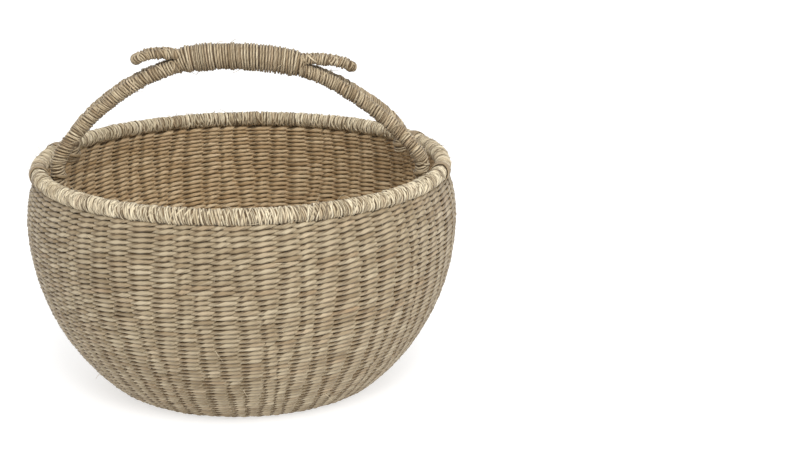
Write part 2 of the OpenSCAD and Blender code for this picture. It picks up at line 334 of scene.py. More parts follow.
def close_ends(mesh):
    """Caps the two ends of every strand that isn't a ring."""
    bm = bmesh.new()
    bm.from_mesh(mesh)
    open_edges = [e for e in bm.edges if e.is_boundary]
    if open_edges:
        bmesh.ops.holes_fill(bm, edges=open_edges, sides=0)
    bm.to_mesh(mesh)
    bm.free()


def paint_strands(mesh, strands, width, thickness, sides):
    """Writes each point's tint, and its place across, through and along its strand for the grain."""
    rng = np.random.default_rng(len(strands))
    a = -2 * np.pi * np.arange(sides) / sides
    tints, grains = [], []
    for strand in strands:
        n = len(strand.points)
        tints.append(np.repeat(strand.tint, sides, axis=0))
        grain = np.empty((n, sides, 3))
        grain[:, :, 0] = strand.radius[:, None] * width / 2 * np.cos(a)
        grain[:, :, 1] = strand.radius[:, None] * thickness / 2 * np.sin(a)
        grain[:, :, 2] = path_length(strand.points)[:, None] + rng.uniform(0, 5)
        grains.append(grain.reshape(-1, 3))
    for name, values in (("tint", tints), ("grain", grains)):
        layer = mesh.attributes.new(name, "FLOAT_VECTOR", "POINT")
        layer.data.foreach_set("vector", np.concatenate(values).ravel())


def add_piece(piece, material, slot, *nodes):
    """Gives a finished piece its material and its body, and hides the nodes it stands for. The slot, for the
    finish it takes, is not used.
    """
    piece.data.materials.clear()
    piece.data.materials.append(material)
    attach(piece, "root")
    if nodes:
        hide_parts(*nodes)


# ---------------------------------------------------------------- weaving


# Slow waves in the columns of stitches (in stitches) and in the courses (in metres). Each has its
# size, its number round the basket, its turn for each metre of height and its start.
COLUMN_WAVES = ((0.16, 7, 9, 0), (0.14, 11, -14, 1), (0.10, 23, 31, 2))
COURSE_WAVES = ((0.0007, 2, 7, 1), (0.0006, 5, -11, 2))
# Orders of the random waves in each course, and the size of those that move it up and down.
WANDER_ORDERS = (17, 31, 37, 41)
JITTER_ORDERS = (9, 14, 19, 26, 33)
JITTER = 0.00034
# Courses run level within these lengths of the rim and of the base, and the base is lifted up to here.
LEVEL_BELOW_RIM = 0.03
LEVEL_OVER_BASE = 0.05
LIFT_END = 0.014
# Sizes of stitches and how far they sink in. A low power keeps a strand out at the face for longer.
# A strand is a little fuller than its own size at a stitch, and swells more where it crosses the wall.
STITCH_SIZES = (0.86, 1.1)
STITCH_INSET = 0.0004
OUT_POWER = 0.4
FULLNESS = 1.02
SWELL = 0.20
# Mean and spread of the stitches' paleness, and its share beside that of the spliced length.
STITCH_PALE = (0.4, 0.34)
STITCH_SHARE = 0.55
# Radius and number of stitches of each tight round at the start of the base.
START_ROUNDS = ((0.0030, 6), (0.0078, 12), (0.0127, 18), (0.0176, 24), (0.0225, 30), (0.0274, 34))
# The packing's two faces, as shares of the wall's thickness, and the hole at its middle.
PACKING = (0.44, 0.56)
PACKING_HOLE = 0.004


def slow_waves(parts, phi, s):
    return sum(size * np.sin(order * phi + turn * s + start) for size, order, turn, start in parts)


def twined_course(profile, weave, s, stakes, rng):
    """The two strands of one course. They turn round each other like a rope, half a turn at each stake."""
    n = stakes * weave.points
    phi = 2 * np.pi * np.arange(n) / n
    turn = np.pi * (np.arange(n) + 0.5) / weave.points
    shift = 2 * np.pi / stakes
    column = slow_waves(COLUMN_WAVES, phi, s) * shift + waves(phi, rng, WANDER_ORDERS, weave.wander * shift)
    drift = slow_waves(COURSE_WAVES, phi, s)
    drift = drift * np.clip((profile.end - s) / LEVEL_BELOW_RIM, 0, 1) * np.clip(s / LEVEL_OVER_BASE, 0, 1)
    drift = drift + waves(phi, rng, JITTER_ORDERS, JITTER)
    reach = (profile.depth - weave.strand_thickness) / 2
    strands = []
    for strand in (0, 1):
        theta = turn + strand * np.pi
        size = stitch_values(theta, rng.uniform(*STITCH_SIZES, stakes + 1), stakes)
        inset = stitch_values(theta, rng.uniform(0, STITCH_INSET, stakes + 1), stakes)
        out = (reach - inset) * np.sign(np.cos(theta)) * np.abs(np.cos(theta)) ** OUT_POWER
        along = s + drift + weave.slant * np.sin(theta)
        lift = weave.base_lift * np.clip(1 - along / LIFT_END, 0, 1)
        r, z = profile.point(along, profile.depth / 2 - out + lift)
        pale = stitch_values(theta, rng.normal(*STITCH_PALE, stakes + 1), stakes)
        splice = np.clip(0.5 + waves(phi, rng, (1, 2, 3), 0.35), 0, 1)
        warm = np.clip(waves(phi, rng, (1, 3, 6, 13), 0.5), 0, 1)
        # The tint's last value is how much painted shade a strand's edges take: full where it lies flat at
        # either face, none where it crosses the wall.
        tint = np.c_[STITCH_SHARE * pale + (1 - STITCH_SHARE) * splice, warm, np.cos(theta) ** 2]
        size = size * (FULLNESS + SWELL * np.sin(theta) ** 2)
        tilt = -(profile.angle(along) + theta)
        strands.append(Strand(round_axis(r, phi + column, z), size, tint, tilt, closed=True))
    return strands


def stitch_values(theta, values, stakes):
    """Spreads one value a stitch along a strand, blended where one stitch passes into the next."""
    place = theta / np.pi + 0.5
    low = np.floor(place).astype(int)
    part = np.clip((place - low - 0.5) * 4, -0.5, 0.5)
    other = low + np.where(part < 0, -1, 1)
    weight = np.maximum(np.abs((place - low) - 0.5) * 4 - 1.5, 0)
    return values[low % stakes] * (1 - weight) + values[other % stakes] * weight


def courses(profile, weave, wall):
    """Arc length and number of stakes of every course: start, base, and side."""
    count = round(profile.end / weave.course)
    pitch = profile.end / count
    start = [(r - profile.base, stitches) for r, stitches in START_ROUNDS]
    rows = round((profile.base - wall.start_radius) / pitch)
    step = (profile.base - wall.start_radius) / rows
    base = []
    for i in range(rows):
        r = wall.start_radius + (i + 0.5) * step
        base.append((r - profile.base, weave.stakes // 2 if r < wall.added_radius else weave.stakes))
    side = [((j + 0.5) * pitch, weave.stakes) for j in range(count)]
    return start, base, side


class BASKET_OT_weave(Operator):
    """Weave the base and the side, course by course"""
    bl_idname = "basket.weave"
    bl_label = "Weave"

    def execute(self, context):
        basket = context.scene
        wall, weave = basket.basket_wall, basket.basket_weave
        profile = Profile(wall)
        start, base, side = courses(profile, weave, wall)
        outside = grass_material("Seagrass weave", basket.basket_colours, "outside")
        rng = np.random.default_rng(11)
        fifth = len(side) // 5
        groups = [("base_start", start, "start_pad"), ("base_weave", base, "base_weave"),
                  ("side_weave_1", side[:fifth], "lower_weave"),
                  ("side_weave_2", side[fifth:2 * fifth], "lower_weave"),
                  ("side_weave_3", side[2 * fifth:3 * fifth], "upper_weave"),
                  ("side_weave_4", side[3 * fifth:4 * fifth], "upper_weave"),
                  ("side_weave_5", side[4 * fifth:], "upper_weave")]
        for name, rows, node in groups:
            strands = []
            for s, stakes in rows:
                strands += twined_course(profile, weave, s, stakes, rng)
            piece = sweep(name, strands, weave.strand_width, weave.strand_thickness, weave.sides)
            add_piece(piece, outside, "weave_outside", node + "_outer", node + "_inner")
        return {"FINISHED"}


class BASKET_OT_packing(Operator):
    """Fill the wall's middle with the loose grass that lies between the stakes, in the core grass's dark
    painted shade
    """
    bl_idname = "basket.packing"
    bl_label = "Pack the wall"

    def execute(self, context):
        basket = context.scene
        profile = Profile(basket.basket_wall)
        s = np.concatenate([[PACKING_HOLE - profile.base], np.linspace(0, profile.end, 60)])
        outer, inner = (np.column_stack(profile.point(s, profile.depth * share)) for share in PACKING)
        bm = bmesh.new()
        verts = [bm.verts.new((r, 0, z)) for r, z in np.concatenate([outer, inner[::-1]])]
        edges = [bm.edges.new((a, b)) for a, b in zip(verts, verts[1:] + verts[:1])]
        bmesh.ops.spin(bm, geom=verts + edges, cent=(0, 0, 0), axis=(0, 0, 1), angle=2 * np.pi,
                       steps=136, use_merge=True, use_duplicate=False)
        bmesh.ops.recalc_face_normals(bm, faces=bm.faces)
        piece = mesh_object("wall_packing", bm)
        piece.data.shade_smooth()
        add_piece(piece, core_material(basket.basket_colours), "stakes")
        return {"FINISHED"}


# ---------------------------------------------------------------- wrapping


def carried_frames(points):
    """Side directions that turn as little as they can along a path, and the directions square to them."""
    tangents = np.gradient(points, axis=0)
    tangents /= np.linalg.norm(tangents, axis=1)[:, None]
    sides = np.empty_like(points)
    side = np.array([1.0, 0.0, 0.0])
    for i, tangent in enumerate(tangents):
        side = side - side.dot(tangent) * tangent
        side /= np.linalg.norm(side)
        sides[i] = side
    return sides, np.cross(tangents, sides)


# Length over which the winding's lean and crowding change, and how far turns lean at random. A turn
# leans most at this angle, and the deepest turns sink in by this many times the unevenness.
WINDING_CYCLE = 0.02
LEAN_SPREAD = 0.45
LEAN_ANGLE = 0.7
SINK = 1.6
TURN_SIZES = (0.82, 1.12)
TURN_PALE = (0.5, 0.24)
TURN_WARM = (0.0, 0.35)
# Thickness of an open coil's first and last point, as a share.
COIL_END = 0.35
# Share of a turn after which it starts to pass into the next one.
TURN_BLEND = 0.75


def along_path(t, run, values):
    return np.stack([np.interp(t, run, values[:, k]) for k in range(3)], 1)


def coil(path, wrap, rng, closed=False, slant=0.0, crowding=0.2, spacing=1.0):
    """A strand wound along a path of (x, y, z, radius), with uneven turns."""
    centre, radius = path[:, :3], path[:, 3]
    run = path_length(centre)
    end = run[-1]
    turns = round(end / (wrap.pitch * spacing))
    n = turns * wrap.points
    t = end * np.arange(n) / n
    theta = 2 * np.pi * np.arange(n) / wrap.points
    place = 2 * np.pi * t / end
    cycles = max(int(end / WINDING_CYCLE), 6)
    lean = slant + waves(place, rng, (cycles // 3, cycles // 2, cycles), LEAN_SPREAD)
    crowd = waves(place, rng, (cycles // 2, cycles, 2 * cycles, 3 * cycles), crowding)
    t = t + wrap.pitch * (lean * spacing * np.sin(theta + LEAN_ANGLE) + crowd)
    t = np.mod(t, end) if closed else np.clip(t, 0, end)
    sides, ups = carried_frames(centre)
    side, up = along_path(t, run, sides), along_path(t, run, ups)
    turn = np.arange(n) // wrap.points
    part = theta / (2 * np.pi) - turn
    blend = np.clip((part - TURN_BLEND) / (1 - TURN_BLEND), 0, 1)

    def each_turn(values):
        return values[turn] * (1 - blend) + values[turn + 1] * blend

    stand = each_turn(rng.uniform(-1, 0, turns + 1) * wrap.unevenness * SINK)
    size = each_turn(rng.uniform(*TURN_SIZES, turns + 1))
    out = np.interp(t, run, radius) - wrap.strand_radius + stand
    spoke = side * np.cos(theta)[:, None] + up * np.sin(theta)[:, None]
    points = along_path(t, run, centre) + out[:, None] * spoke
    pale = each_turn(rng.normal(*TURN_PALE, turns + 1))
    warm = each_turn(np.clip(rng.normal(*TURN_WARM, turns + 1), 0, 1))
    if not closed:
        size = size * np.clip(COIL_END + np.minimum(np.arange(n), np.arange(n)[::-1]) / wrap.points, 0, 1)
    # Every turn takes full painted shade at its edges.
    return Strand(points, size, np.c_[pale, warm, np.ones(n)], closed=closed)


class BASKET_OT_rim(Operator):
    """Wind the rim's wrap, turn by turn"""
    bl_idname = "basket.rim"
    bl_label = "Wrap the rim"

    def execute(self, context):
        basket = context.scene
        wall, wrap = basket.basket_wall, basket.basket_wrap
        profile = Profile(wall)
        a = np.linspace(0, 2 * np.pi, 721)
        centre = round_axis(profile.rim_centre, a, profile.rim_height)
        ring = np.c_[centre, np.full(len(a), wall.rim_section)]
        rng = np.random.default_rng(23)
        strands = [coil(ring, wrap, rng, closed=True, slant=0.5, crowding=0.4),
                   coil(ring, wrap, rng, closed=True, slant=-0.5, crowding=0.6, spacing=2.3)]
        size = 2 * wrap.strand_radius
        piece = sweep("rim_winding", strands, size, size, wrap.sides, "MINIMUM")
        material = grass_material("Rim grass", basket.basket_colours, "rim")
        add_piece(piece, material, "rim_wrap", "rim_wrap")
        return {"FINISHED"}


# ---------------------------------------------------------------- the handle


# Clear gap between bound parts, and how far the four strands run on together past the binding.
BOUND_GAP = 0.00005
GRIP_MARGIN = 0.002
# Shares of a leg's spread and rise left where it comes level with the grip.
LEG_SPREAD = 0.065
LEG_FALL = 0.105
# How far two legs' wraps press into each other by the grip.
LEG_PRESS = 0.0022
# A horn's curve is steered at two shares of its length. It rises, sags and droops round its turn.
HORN_NEAR = 0.35
HORN_FAR = 0.75
HORN_LIFT = 0.001
HORN_SAG = 0.0045
TURN_DROP = 0.003
# The binding starts to close in at this length inside the grip's ends, and how far it closes and sinks.
CLOSE_FROM = 0.004
CLOSE_IN = 0.0045
CLOSE_SINK = 0.0015
# How far the dark strand of painted shade lies under a winding's outside, in strand radii.
CORE_DEPTH = 1.7


class Hoops:
    """The centre lines of the two hoops and of the grip."""

    def __init__(self, wall, handle):
        self.handle = handle
        profile = Profile(wall)
        self.rim_top = RIM_HIGH.z
        self.spread = handle.rod_radius + handle.strand_gap
        self.grip_radius = self.spread * (np.sqrt(2) + 1) + handle.grip_thickness
        self.half = handle.grip_length / 2 + GRIP_MARGIN
        self.axis_z = CAD_BOX[1][2] - self.grip_radius
        self.foot_radius = (profile.rim_centre - wall.rim_section - BOUND_GAP - handle.leaf_thickness
                            - handle.strand_gap - handle.leg_radius)
        self.foot_low = profile.rim_height - handle.foot_drop
        self.foot_top = profile.rim_height + handle.leaf_height / 2 + handle.foot_straight
        self.grip_end = self.grip_z(self.half)

    def grip_z(self, x):
        return self.axis_z - self.handle.grip_arch * (x / self.half) ** 2

    def leg(self, side, angle, count=48):
        """From the foot to the grip. A hoop's two legs lie side by side by the grip and part lower down."""
        h = self.handle
        foot_x, foot_y = self.foot_radius * np.cos(angle), self.foot_radius * np.sin(angle)
        end_z = self.grip_end - self.spread
        dx, dz = foot_x - self.half, end_z - self.foot_top
        controls = np.array([
            [-foot_x, side * foot_y, self.foot_top],
            [-foot_x, side * foot_y * (1 - h.draw_in), self.foot_top + h.upright * dz],
            [-self.half - h.bend * dx, side * (self.spread + LEG_SPREAD * (foot_y - self.spread)),
             end_z - LEG_FALL * dz],
            [-self.half, side * self.spread, end_z]])
        rise = bezier(controls, np.linspace(0, 1, count))
        low = [-foot_x, side * foot_y, self.foot_low]
        points = np.concatenate([np.linspace(low, controls[0], 6)[:-1], rise])
        radius = np.minimum(h.leg_radius, np.abs(points[:, 1]) + LEG_PRESS)
        return np.c_[points, radius]

    def legs(self):
        """Hoop, turn of the hoop and path of each of the four legs."""
        h = self.handle
        return (("left", 1, self.leg(-1, h.front_left)), ("left", 1, self.leg(1, h.back_left)),
                ("right", -1, self.leg(-1, h.back_right)), ("right", -1, self.leg(1, h.front_right)))

    def horn(self, reach, count=24):
        """Out of the grip, round the closed end and back in."""
        h = self.handle
        bend = h.horn_radius + h.strand_gap
        end = reach - h.horn_radius - bend
        dx, z = end - self.half, self.grip_end + self.spread
        low = z - h.horn_drop + TURN_DROP
        halves = {}
        for side in (1, -1):
            controls = np.array([[self.half, side * self.spread, z],
                                 [self.half + HORN_NEAR * dx, side * self.spread, z + HORN_LIFT],
                                 [self.half + HORN_FAR * dx, side * bend, low + HORN_SAG],
                                 [end, side * bend, low]])
            t = np.linspace(0, 1, count)
            halves[side] = np.c_[bezier(controls, t), np.full(count, h.horn_radius)]
        a = np.radians(np.linspace(0, 180, 15))[1:-1]
        turn = np.c_[end + bend * np.sin(a), bend * np.cos(a), low - TURN_DROP * np.sin(a),
                     np.full(len(a), h.horn_radius)]
        return np.concatenate([halves[1], turn, halves[-1][::-1]])

    def grip(self):
        """The binding runs on a little past the grip and closes in on the legs and the horn."""
        end = self.handle.grip_length / 2
        taper = self.handle.grip_taper
        x = np.linspace(-end - taper, end + taper, 80)
        past = np.clip((np.abs(x) - end + CLOSE_FROM) / (taper + CLOSE_FROM), 0, 1)
        radius = self.grip_radius - CLOSE_IN * past ** 1.5
        return np.c_[x, np.zeros(len(x)), self.grip_z(x) - CLOSE_SINK * past, radius]

    def placed(self, path, turn):
        """Turns a path to its side of the basket and gives it the handle's lean."""
        out = path.copy()
        out[:, :2] *= turn
        rise = np.clip((out[:, 2] - self.rim_top) / (self.axis_z - self.rim_top), 0, 1)
        out[:, 2] -= self.handle.lean * out[:, 0] * rise
        return out


def bezier(controls, t):
    t = t[:, None]
    return ((1 - t) ** 3 * controls[0] + 3 * (1 - t) ** 2 * t * controls[1]
            + 3 * (1 - t) * t ** 2 * controls[2] + t ** 3 * controls[3])


def shade_filler(path, wrap):
    """A dark strand under the turns, painted almost wholly in the crease colour: painted shade seen between
    them.
    """
    radius = (path[:, 3] - CORE_DEPTH * wrap.strand_radius) / wrap.strand_radius
    return Strand(path[:, :3], radius, (0.1, 0.3, 1.8))


class BASKET_OT_handle(Operator):
    """Wind both hoops and bind the grip"""
    bl_idname = "basket.handle"
    bl_label = "Make the handle"

    def execute(self, context):
        basket = context.scene
        wrap, handle = basket.basket_wrap, basket.basket_handle
        hoops = Hoops(basket.basket_wall, handle)
        material = grass_material("Handle grass", basket.basket_colours, "handle")
        rng = np.random.default_rng(37)
        size = 2 * wrap.strand_radius
        for name, turn, reach in (("left", 1, handle.right_horn), ("right", -1, handle.left_horn)):
            strands = []
            for path in [hoops.horn(reach)] + [leg for hoop, _, leg in hoops.legs() if hoop == name]:
                placed = hoops.placed(path, turn)
                strands += [coil(placed, wrap, rng, slant=0.5), shade_filler(placed, wrap),
                            coil(placed, wrap, rng, slant=-0.2, crowding=0.5, spacing=3.1)]
            piece = sweep(name + "_hoop_winding", strands, size, size, wrap.sides, "MINIMUM")
            add_piece(piece, material, "handle_wrap", name + "_hoop_wrap")
        grip = hoops.placed(hoops.grip(), 1)
        piece = sweep("grip_winding", [coil(grip, wrap, rng, slant=0.4), shade_filler(grip, wrap)],
                      size, size, wrap.sides, "MINIMUM")
        add_piece(piece, material, "handle_wrap", "grip_binding")
        return {"FINISHED"}


# ---------------------------------------------------------------- leaf strips


# Angles between which a strip lies over the rim and round a foot, in degrees.
LEAF_OVER_RIM = (-62, 196)
LEAF_ROUND_FOOT = (70, 290)
# Half the width by which two strips cross over the rim, and how far the strip round the foot tilts.
LEAF_CROSS = 0.0085
LEAF_TILT = 0.002
# How far a strip's middle stands over its seat, and its own thickness, both in leaf thicknesses. Its
# middle curls out by a share of its width.
LEAF_SEAT = 0.2
LEAF_THIN = 0.6
LEAF_CURL = 0.048


def ribbon(name, paths, width, thickness):
    """Flat strips: a grid laid along each path, facing outwards, and given a thickness."""
    bm = bmesh.new()
    for points, normals, share in paths:
        tangents = np.gradient(points, axis=0)
        across = np.cross(tangents, normals)
        across /= np.linalg.norm(across, axis=1)[:, None]
        made = bmesh.ops.create_grid(bm, x_segments=4, y_segments=len(points) - 1, size=0.5)["verts"]
        for vert in made:
            i = round((vert.co.y + 0.5) * (len(points) - 1))
            offset = vert.co.x
            curl = LEAF_CURL * width * (1 - (2 * offset) ** 2)
            taper = share * min(1.0, 0.5 + 0.25 * min(i, len(points) - 1 - i))
            vert.co = points[i] + across[i] * offset * width * taper + normals[i] * curl
    piece = mesh_object(name, bm)
    solid = piece.modifiers.new("thickness", "SOLIDIFY")
    solid.thickness = thickness
    solid.offset = 0
    piece.data.shade_smooth()
    return piece


def lashing_paths(hoops, wall, angle):
    """Two strips that cross over the rim at a foot, and one round the foot's inside."""
    h = hoops.handle
    centre, height = Profile(wall).rim_centre, Profile(wall).rim_height
    out = wall.rim_section + h.leaf_thickness * LEAF_SEAT
    paths = []
    over = np.radians(np.linspace(*LEAF_OVER_RIM, 22))
    for lean in (-1, 1):
        a = angle + lean * np.linspace(LEAF_CROSS, -LEAF_CROSS, len(over)) / centre
        points = round_axis(centre + out * np.cos(over), a, height + out * np.sin(over))
        paths.append((points, round_axis(np.cos(over), a, np.sin(over)), 1.0))
    t = np.radians(np.linspace(*LEAF_ROUND_FOOT, 20))
    hug = h.leg_radius + h.leaf_thickness * LEAF_SEAT
    local = np.c_[hoops.foot_radius + hug * np.cos(t), hug * np.sin(t)]
    turn = np.array([[np.cos(angle), np.sin(angle)], [-np.sin(angle), np.cos(angle)]])
    points = np.c_[local @ turn, height + LEAF_TILT * np.cos(t)]
    normals = np.c_[np.c_[np.cos(t), np.sin(t)] @ turn, np.zeros(len(t))]
    paths.append((points, normals, 0.5))
    return paths


class BASKET_OT_lashings(Operator):
    """Lay the leaf strips that lash the four feet to the rim"""
    bl_idname = "basket.lashings"
    bl_label = "Lash the feet"

    def execute(self, context):
        basket = context.scene
        wall, handle = basket.basket_wall, basket.basket_handle
        hoops = Hoops(wall, handle)
        material = leaf_material(basket.basket_colours)
        feet = {"front_left": np.pi + handle.front_left, "back_left": np.pi - handle.back_left,
                "front_right": -handle.front_right, "back_right": handle.back_right}
        for name, angle in feet.items():
            paths = lashing_paths(hoops, wall, angle)
            piece = ribbon(name + "_leaf", paths, handle.leaf_width, handle.leaf_thickness * LEAF_THIN)
            add_piece(piece, material, "leaf_strip", name + "_lashing")
        return {"FINISHED"}


# ---------------------------------------------------------------- stray fibres


RIM_FIBRES = 150
WALL_FIBRES = 120
# On each leg and on the grip.
HANDLE_FIBRES = 32
FIBRE_ROOT = 0.001
FIBRE_WIDTH = 0.0005
FIBRE_REACH = (0.004, 0.011)


class BASKET_OT_fibres(Operator):
    """Let a few thin fibres stand out of the rim, the handle and the wall"""
    bl_idname = "basket.fibres"
    bl_label = "Stray fibres"

    def execute(self, context):
        basket = context.scene
        wall = basket.basket_wall
        profile = Profile(wall)
        hoops = Hoops(wall, basket.basket_handle)
        rng = np.random.default_rng(5)
        strands = []
        for _ in range(RIM_FIBRES):
            a = rng.uniform(0, 2 * np.pi)
            b = rng.uniform(-0.6, 2.6)
            direction = round_axis(np.cos(b), a, np.sin(b))
            root = (round_axis(profile.rim_centre, a, profile.rim_height)
                    + direction * (wall.rim_section - FIBRE_ROOT))
            strands.append(fibre(root, direction, rng))
        for _ in range(WALL_FIBRES):
            a = rng.uniform(0, 2 * np.pi)
            s = rng.uniform(0.04, profile.end - 0.01)
            r, z = profile.point(s, FIBRE_ROOT)
            strands.append(fibre(round_axis(r, a, z), round_axis(1, a, 0.2), rng))
        for _, turn, path in (*hoops.legs(), ("grip", 1, hoops.grip())):
            placed = hoops.placed(path, turn)
            for _ in range(HANDLE_FIBRES):
                i = rng.integers(8, len(placed) - 2)
                b = rng.uniform(0, 2 * np.pi)
                direction = np.array([0.1, np.cos(b), np.sin(b)])
                root = placed[i, :3] + direction * (placed[i, 3] - FIBRE_ROOT)
                strands.append(fibre(root, direction, rng))
        piece = sweep("stray_fibres", strands, FIBRE_WIDTH, FIBRE_WIDTH, 5, "MINIMUM")
        material = grass_material("Handle grass", basket.basket_colours, "handle")
        add_piece(piece, material, "rim_wrap")
        return {"FINISHED"}


def fibre(root, direction, rng):
    """A thin bent fibre that leaves the surface at a slant."""
    slant = rng.normal(0, 1, 3)
    side = slant - slant.dot(direction) * direction / direction.dot(direction)
    side /= np.linalg.norm(side)
    reach = rng.uniform(*FIBRE_REACH)
    t = np.linspace(0, 1, 7)[:, None]
    points = root + reach * (side * t * rng.uniform(0.8, 1.6) + direction * (0.55 * t - 0.35 * t ** 2))
    return Strand(points, np.linspace(1.2, 0.4, 7), (rng.uniform(0.3, 1.2), 0, 0))


# ---------------------------------------------------------------- materials


# Scales of the noises, for each metre: across, through and along a strand, or all round.
FIBRE_SCALE = (2200, 2200, 60)
PATCH_SCALE = (250, 250, 28)
VEIN_SCALE = (1500, 1500, 300)
BLOTCH_SCALE = 14
# Turn of a twisted strand's grooves for each metre, in radians, and how dark a strand's edges grow as
# painted shade between strands.
GROOVE_TURN = 620.0
EDGE_SHADE = 0.92
GRASS_BUMP = 0.0004
LEAF_BUMP = 0.0003
# Height of the point that the wall's inside faces look towards.
BOWL_CENTRE = 0.19
# Brightness of the grass deep in the wall, beside the inside's main colour, as painted shade.
CORE_SHADE = 0.6


def new_group(name, inputs, outputs):
    group = bpy.data.node_groups.new(name, "ShaderNodeTree")
    for label, kind, default in inputs:
        socket = group.interface.new_socket(label, in_out="INPUT", socket_type=kind)
        if default is not None:
            socket.default_value = default
    for label, kind in outputs:
        group.interface.new_socket(label, in_out="OUTPUT", socket_type=kind)
    return group, group.nodes.new("NodeGroupInput"), group.nodes.new("NodeGroupOutput")


def connect(tree, socket, value):
    """Links a value that is a socket, and sets one that is a constant."""
    if isinstance(value, bpy.types.NodeSocket):
        tree.links.new(value, socket)
    else:
        socket.default_value = value


def mix_colour(tree, blend, factor, a, b):
    node = tree.nodes.new("ShaderNodeMix")
    node.data_type = "RGBA"
    node.blend_type = blend
    for label, value in (("Factor", factor), ("A", a), ("B", b)):
        connect(tree, node.inputs[label], value)
    return node.outputs["Result"]


def math_node(tree, operation, a, b=0.0, clamp=False):
    node = tree.nodes.new("ShaderNodeMath")
    node.operation = operation
    node.use_clamp = clamp
    connect(tree, node.inputs[0], a)
    connect(tree, node.inputs[1], b)
    return node.outputs[0]


def sums(tree):
    """Short ways to add, subtract and multiply in one tree."""
    return [partial(math_node, tree, operation) for operation in ("ADD", "SUBTRACT", "MULTIPLY")]


def vector_node(tree, operation, a, b):
    node = tree.nodes.new("ShaderNodeVectorMath")
    node.operation = operation
    connect(tree, node.inputs[0], a)
    connect(tree, node.inputs[1], b)
    return node.outputs


def separate(tree, vector):
    node = tree.nodes.new("ShaderNodeSeparateXYZ")
    tree.links.new(vector, node.inputs[0])
    return node.outputs


def noise(tree, vector, scale, detail, roughness=0.6):
    """Noise at one scale, or at one scale for each axis."""
    if isinstance(scale, tuple):
        vector, scale = vector_node(tree, "MULTIPLY", vector, scale)["Vector"], 1.0
    node = tree.nodes.new("ShaderNodeTexNoise")
    tree.links.new(vector, node.inputs["Vector"])
    set_inputs(node, {"Scale": scale, "Detail": detail, "Roughness": roughness})
    return node.outputs["Fac"]


def set_inputs(node, values):
    for label, value in values.items():
        node.inputs[label].default_value = value


def new_material(name):
    material = bpy.data.materials.new(name)
    material.use_nodes = True
    return material, material.node_tree, material.node_tree.nodes["Principled BSDF"]


def object_place(tree):
    return tree.nodes.new("ShaderNodeTexCoord").outputs["Object"]


def add_bump(tree, shader, height, distance):
    bump = tree.nodes.new("ShaderNodeBump")
    set_inputs(bump, {"Strength": 0.5, "Distance": distance})
    tree.links.new(height, bump.inputs["Height"])
    tree.links.new(bump.outputs["Normal"], shader.inputs["Normal"])


def grass_group():
    """Dry grass: fibres along the strand, pale and warm strands, spots of age, and dark creases of painted
    shade at the strands' edges and in their grooves.
    """
    name = "Dry grass"
    if name in bpy.data.node_groups:
        return bpy.data.node_groups[name]
    group, entry, leave = new_group(name, (
        ("Grain", "NodeSocketVector", None), ("Tint", "NodeSocketVector", None),
        ("Place", "NodeSocketVector", None),
        ("Main", "NodeSocketColor", (0.4, 0.3, 0.2, 1)), ("Pale", "NodeSocketColor", (0.6, 0.5, 0.4, 1)),
        ("Warm", "NodeSocketColor", (0.4, 0.3, 0.2, 1)), ("Crease", "NodeSocketColor", (0.1, 0.1, 0.1, 1)),
        ("Twist", "NodeSocketFloat", 0.0), ("Half width", "NodeSocketFloat", 0.0026),
        ("Edge start", "NodeSocketFloat", 0.56),
    ), (("Color", "NodeSocketColor"), ("Roughness", "NodeSocketFloat"), ("Height", "NodeSocketFloat")))
    add, subtract, multiply = sums(group)
    given = entry.outputs
    grain, dark = given["Grain"], given["Crease"]
    pale, warm, crease = separate(group, given["Tint"])
    fibres = noise(group, grain, FIBRE_SCALE, 3, 0.65)
    patches = noise(group, grain, PATCH_SCALE, 2)
    blotches = noise(group, given["Place"], BLOTCH_SCALE, 3)
    amount = add(pale, multiply(subtract(patches, 0.5), 1.3))
    amount = add(amount, multiply(subtract(blotches, 0.5), 0.9), True)
    shade = mix_colour(group, "MIX", amount, given["Main"], given["Pale"])
    shade = mix_colour(group, "MIX", multiply(warm, multiply(patches, 0.9), True), shade, given["Warm"])
    streak = multiply(subtract(fibres, 0.42), 1.9, True)
    shade = mix_colour(group, "MULTIPLY", multiply(streak, 0.45), shade, (0.50, 0.42, 0.30, 1))
    groove = multiply(twist_grooves(group, grain, patches), given["Twist"])
    # Painted shade in the twist grooves, towards the crease colour.
    shade = mix_colour(group, "MIX", multiply(groove, 0.55), shade, dark)
    # Painted shade: a strand's edges darken towards the crease colour, and a crease value over 1 paints the
    # whole strand dark.
    edge = multiply(strand_edge(group, grain, given["Half width"], given["Edge start"]), EDGE_SHADE)
    flat = multiply(math_node(group, "MINIMUM", crease, 1.0), edge)
    deep = math_node(group, "MAXIMUM", flat, subtract(crease, 1.0))
    shade = mix_colour(group, "MIX", deep, shade, dark)
    group.links.new(shade, leave.inputs["Color"])
    group.links.new(add(multiply(fibres, 0.25), 0.5), leave.inputs["Roughness"])
    group.links.new(subtract(multiply(fibres, 0.5), groove), leave.inputs["Height"])
    return group


def strand_edge(group, grain, half_width, start):
    """1 at the two edges of a strand, where it meets its neighbours, and 0 over most of its width: the mask
    of the painted shade between strands.
    """
    _, subtract, multiply = sums(group)
    x = math_node(group, "ABSOLUTE", separate(group, grain)["X"])
    return multiply(subtract(math_node(group, "DIVIDE", x, half_width), start), 3.2, True)


def twist_grooves(group, grain, patches):
    """Thin grooves that wind round a strand, where the blades twisted into it meet: a height for the bump,
    and the mask of painted shade in the grooves.
    """
    add, _, multiply = sums(group)
    x, y, z = separate(group, grain)
    around = multiply(math_node(group, "ARCTAN2", y, x), 2.0)
    turn = add(add(around, multiply(z, GROOVE_TURN)), multiply(patches, 5.0))
    wave = math_node(group, "MAXIMUM", math_node(group, "SINE", turn), 0.0)
    return math_node(group, "POWER", wave, 3.0)


